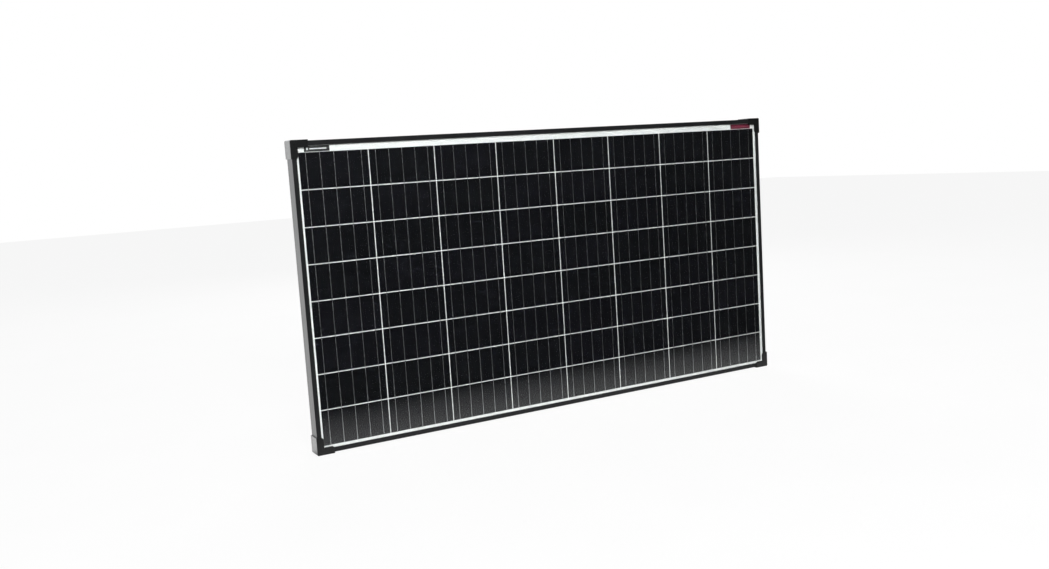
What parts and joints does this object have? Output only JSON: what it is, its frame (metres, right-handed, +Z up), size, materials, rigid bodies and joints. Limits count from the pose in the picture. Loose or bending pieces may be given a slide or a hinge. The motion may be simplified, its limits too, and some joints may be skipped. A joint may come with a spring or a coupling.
{
  "type": "solar panel",
  "caption": "Framed photovoltaic panel of half-cut cells behind glass, with black rails, plastic corner caps and a rear junction box with a hinged lid.",
  "frame": {"origin": "bottom centre of the bounding box: the middle of the base line between the two bottom corner caps", "axes": "+X along the panel's long side, to the right seen from the front; +Y towards the rear; +Z up"},
  "size_m": [1.3048, 0.0398, 0.6868],
  "materials": {
    "anodised_frame": "satin black anodised extrusion",
    "raw_aluminium": "mill finish",
    "corner_plastic": "fine textured black plastic",
    "seal_foam": "black foam gasket",
    "front_glass": "clear low-iron glass",
    "encapsulant": "clear polymer film",
    "white_encapsulant": "white polymer film",
    "white_backsheet": "white satin film",
    "silicon_cell": "blue-black coated silicon",
    "tinned_ribbon": "tinned copper ribbon",
    "white_mask": "white film strip",
    "insulation": "white film",
    "black_tag": "printed black tag",
    "red_tag": "printed dark red tag",
    "rating_plate": "silver polyester label",
    "box_plastic": "moulded black plastic",
    "silicone": "white silicone adhesive",
    "gasket_rubber": "dark rubber",
    "terminal_brass": "plain brass",
    "screw_steel": "zinc plated steel",
    "diode_body": "moulded epoxy",
    "diode_lead": "tinned wire",
    "gland_plastic": "moulded nylon"
  },
  "bodies": {
    "panel": {"rail_bottom": "anodised_frame", "edge_seal_bottom": "seal_foam", "rail_left": "anodised_frame", "edge_seal_left": "seal_foam", "rail_top": "anodised_frame", "edge_seal_top": "seal_foam", "rail_right": "anodised_frame", "edge_seal_right": "seal_foam", "corner_key_bottom_left": "raw_aluminium", "corner_cap_bottom_left": "corner_plastic", "corner_key_top_left": "raw_aluminium", "corner_cap_top_left": "corner_plastic", "corner_key_top_right": "raw_aluminium", "corner_cap_top_right": "corner_plastic", "corner_key_bottom_right": "raw_aluminium", "corner_cap_bottom_right": "corner_plastic", "front_glass": "front_glass", "front_encapsulant": "encapsulant", "rear_encapsulant": "white_encapsulant", "backsheet": "white_backsheet", "cell_column_1": "silicon_cell", "cell_ribbons_1": "tinned_ribbon", "cell_column_2": "silicon_cell", "cell_ribbons_2": "tinned_ribbon", "cell_column_3": "silicon_cell", "cell_ribbons_3": "tinned_ribbon", "cell_column_4": "silicon_cell", "cell_ribbons_4": "tinned_ribbon", "cell_column_5": "silicon_cell", "cell_ribbons_5": "tinned_ribbon", "cell_column_6": "silicon_cell", "cell_ribbons_6": "tinned_ribbon", "cell_column_7": "silicon_cell", "cell_ribbons_7": "tinned_ribbon", "cell_column_8": "silicon_cell", "cell_ribbons_8": "tinned_ribbon", "bus_ribbons_top": "tinned_ribbon", "bus_ribbons_bottom": "tinned_ribbon", "mask_strips": "white_mask", "lead_ribbons": "tinned_ribbon", "insulation_strip": "insulation", "front_tag_left": "black_tag", "front_tag_right": "red_tag", "rear_label": "rating_plate", "junction_box_adhesive": "silicone", "junction_box_housing": "box_plastic", "hinge_pins": "screw_steel", "terminal_negative": "terminal_brass", "terminal_positive": "terminal_brass", "terminal_screws": "screw_steel", "bypass_diodes": "diode_body", "diode_leads": "diode_lead", "gland_body_left": "gland_plastic", "gland_body_right": "gland_plastic", "gland_nut_left": "gland_plastic", "gland_nut_right": "gland_plastic", "gland_seals": "gasket_rubber"},
    "lid": {"junction_box_lid": "box_plastic", "lid_gasket": "gasket_rubber", "lid_screws": "screw_steel"}
  },
  "joints": [
    {"name": "lid_hinge", "type": "hinge", "parent": "panel", "child": "lid", "pos_m": [0, 0.01025, 0.6476], "axis": [1, 0, 0], "range_deg": [0, 110]}
  ]
}
